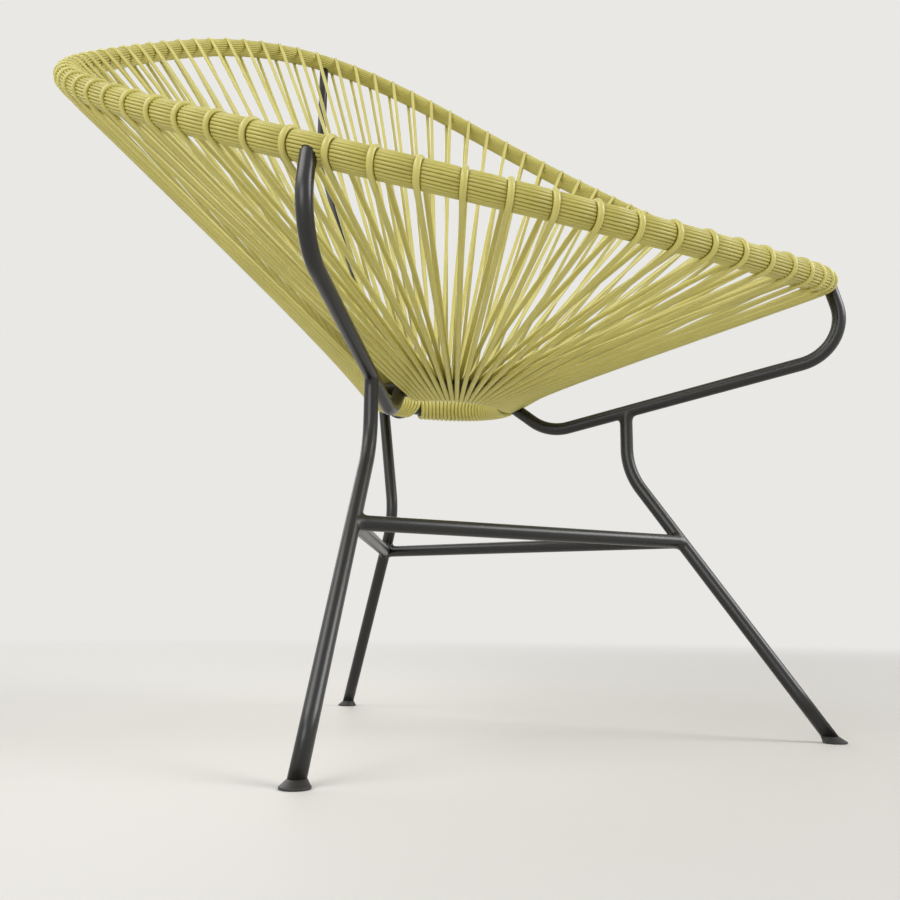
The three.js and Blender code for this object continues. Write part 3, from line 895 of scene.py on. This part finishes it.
def makeJacket():
    # Each strand's middle line: rim + middle x (outward x cos(place) + upward x sin(place)). A loop lies in a
    # plane, and its normal is square to the loop's pull and to its outward side, so it crosses the strand at
    # -middle x (spoke . normal) / (tangent . normal) along the rim.
    random = np.random.default_rng(rimJacket["seed"])
    index = np.arange(loops["all"])
    _, tangent, pull = rimPull(index)
    beltSide = unit(np.cross(tangent, pull))
    normal = np.cross(beltSide, pull)
    outward = unit(np.cross(tangent, rimNormal))
    upward = np.cross(outward, tangent)
    wrapAngle = index[:, None] * loopAngle
    ahead, behind = rimPoint(wrapAngle[:, 0] + loopAngle), rimPoint(wrapAngle[:, 0] - loopAngle)
    speed = np.linalg.norm(ahead - behind, axis=1)[:, None] / (2 * loopAngle)
    hoopRadius = rimHoop["tubeDiameter"] / 2 + rimJacket["clearance"]
    radius = rimJacket["strandDiameter"] / 2
    underCord = seatCord["rimWrapRadius"] - cordRadius * seatCord["pressedShare"] - rimJacket["clearance"]
    risen = np.array(rimJacket["risenShares"])
    strands = []
    for strand in range(rimJacket["strandCount"]):
        place = circle * strand / rimJacket["strandCount"]
        spoke = outward * math.cos(place) + upward * math.sin(place)
        crossing = wrapAngle - (hoopRadius + radius) * dot(spoke, normal) / dot(tangent, normal) / speed
        following = np.roll(crossing, -1, axis=0)
        following[-1] += circle
        beside = crossing + np.array(rimJacket["besideShares"]) * loopAngle
        angle = np.concatenate([beside, (crossing + following) / 2], axis=1).ravel()
        # On the side away from the pull the cord leaves the hoop, so there it presses less
        hold = np.where(dot(spoke, pull) < 0, np.abs(dot(spoke, beltSide)), 1)
        pressed = np.clip((underCord / np.maximum(hold, rimJacket["leastHold"]) - hoopRadius) / 2, 0, radius)
        halfHeight = pressed + (radius - pressed) * risen
        halfHeight = np.concatenate([halfHeight, np.full_like(pressed, radius)], axis=1)
        bulge = np.zeros_like(halfHeight)
        bulge[:, -1:] = random.uniform(*rimJacket["bulge"], crossing.shape)
        middle = (hoopRadius + halfHeight + bulge).ravel()
        along = rimTangent(angle)
        side = unit(np.cross(along, rimNormal))
        rowSpoke = side * math.cos(place) + np.cross(side, along) * math.sin(place)
        points = rimPoint(angle) + middle[:, None] * rowSpoke
        halfWidth = rimJacket["widthShare"] * math.pi * middle / rimJacket["strandCount"]
        grid = tubeGrid(points, along, rowSpoke, halfHeight.ravel(), halfWidth, rimJacket["sides"])
        strands.append(gridMesh("strand", grid, True, False))
    makePiece("rimJacket", strands, "strand", "rim_jacket")


makeJacket()
print("jacket made")


# Floor, light and background

studio = {
    "floorSize": 60.0,  # metres
    "floorColour": "#dad8d4",
    "floorRoughness": 0.6,
    "floorGloss": 0.2,
    "floorFade": (0.9, 3.2),  # metres from the middle, where the floor fades into the background
    "skyColour": "#e9e8e5",
    "skyStrength": 1.0,  # where it is seen
    "ambient": 0.4,  # where it lights the chair
    "lamps": {
        # name: place and aim in metres, width and height in metres, power in watts
        "right": ((1.9, -1.8, 1.9), (0.0, 0.0, 0.4), 1.5, 1.5, 50.0),
        "left": ((-2.0, -0.1, 2.3), (0.0, 0.0, 0.4), 2.2, 1.5, 36.0),
        "front": ((-2.3, -1.9, 0.95), (0.0, 0.0, 0.35), 1.7, 1.2, 22.0),
        "back": ((0.3, 2.6, 1.8), (0.0, 0.0, 0.5), 2.4, 1.6, 30.0),
    },
}


def seenDirectly(tree):
    # 1 for what the camera sees, directly or in a gloss or a glass, and 0 for the light on the object
    path = addNode(tree, "ShaderNodeLightPath").outputs
    links = {0: path["Is Camera Ray"], 1: path["Is Glossy Ray"]}
    either = addNode(tree, "ShaderNodeMath", {"operation": "MAXIMUM"}, links)
    links = {0: either.outputs["Value"], 1: path["Is Transmission Ray"]}
    return addNode(tree, "ShaderNodeMath", {"operation": "MAXIMUM"}, links).outputs["Value"]


def makeFloorPaint():
    # Matt paint that turns, away from the chair, into the background's own colour
    material, tree = newMaterial("matt floor paint")
    place = addNode(tree, "ShaderNodeTexCoord").outputs["Object"]
    paint = addNode(tree, "ShaderNodeBsdfPrincipled", {
        "Base Color": hexColour(studio["floorColour"]), "Roughness": studio["floorRoughness"],
        "Specular IOR Level": studio["floorGloss"],
    })
    sky = {"Color": hexColour(studio["skyColour"]), "Strength": studio["skyStrength"]}
    glow = addNode(tree, "ShaderNodeEmission", sky)
    far = addNode(tree, "ShaderNodeVectorMath", {"operation": "LENGTH"}, {0: place})
    near, beyond = studio["floorFade"]
    fade = addNode(tree, "ShaderNodeMapRange", {
        "interpolation_type": "SMOOTHSTEP", "From Min": near, "From Max": beyond,
    }, {"Value": far.outputs["Value"]})
    mixed = addNode(tree, "ShaderNodeMixShader", links={
        0: multiply(tree, fade.outputs["Result"], seenDirectly(tree)),
        1: paint.outputs["BSDF"],
        2: glow.outputs["Emission"],
    })
    addNode(tree, "ShaderNodeOutputMaterial", links={"Surface": mixed.outputs["Shader"]})
    return material


def makeFloor():
    half = studio["floorSize"] / 2
    mesh = bpy.data.meshes.new("floor")
    corners = [(-half, -half, 0), (half, -half, 0), (half, half, 0), (-half, half, 0)]
    mesh.from_pydata(corners, [], [(0, 1, 2, 3)])
    mesh.materials.append(makeFloorPaint())
    floor = bpy.data.objects.new("floor", mesh)
    bpy.context.collection.objects.link(floor)


def makeLamp(name, place, aim, width, height, power):
    data = bpy.data.lights.new(name, "AREA")
    data.shape = "RECTANGLE"
    data.size = width
    data.size_y = height
    data.energy = power
    lamp = bpy.data.objects.new(name, data)
    lamp.location = place
    away = unit(np.array(place) - np.array(aim))
    right = unit(np.cross([0, 0, 1], away))
    above = np.cross(away, right)
    rows = [[right[k], above[k], away[k], place[k]] for k in range(3)]
    lamp.matrix_world = Matrix(rows + [[0, 0, 0, 1]])
    bpy.context.collection.objects.link(lamp)


def makeWorld():
    # Ambient light at one strength, and a pale background wherever the camera or a reflection sees it
    world = bpy.data.worlds.new("studio")
    world.use_nodes = True
    tree = world.node_tree
    tree.nodes.clear()
    sky = {"Color": hexColour(studio["skyColour"])}
    ambient = addNode(tree, "ShaderNodeBackground", {**sky, "Strength": studio["ambient"]})
    pale = addNode(tree, "ShaderNodeBackground", {**sky, "Strength": studio["skyStrength"]})
    mixed = addNode(tree, "ShaderNodeMixShader", links={
        0: seenDirectly(tree), 1: ambient.outputs["Background"], 2: pale.outputs["Background"],
    })
    addNode(tree, "ShaderNodeOutputWorld", links={"Surface": mixed.outputs["Shader"]})
    bpy.context.scene.world = world


makeFloor()
makeWorld()
for name, values in studio["lamps"].items():
    makeLamp(name, *values)
bpy.context.scene.view_settings.view_transform = "Standard"
print("studio made")
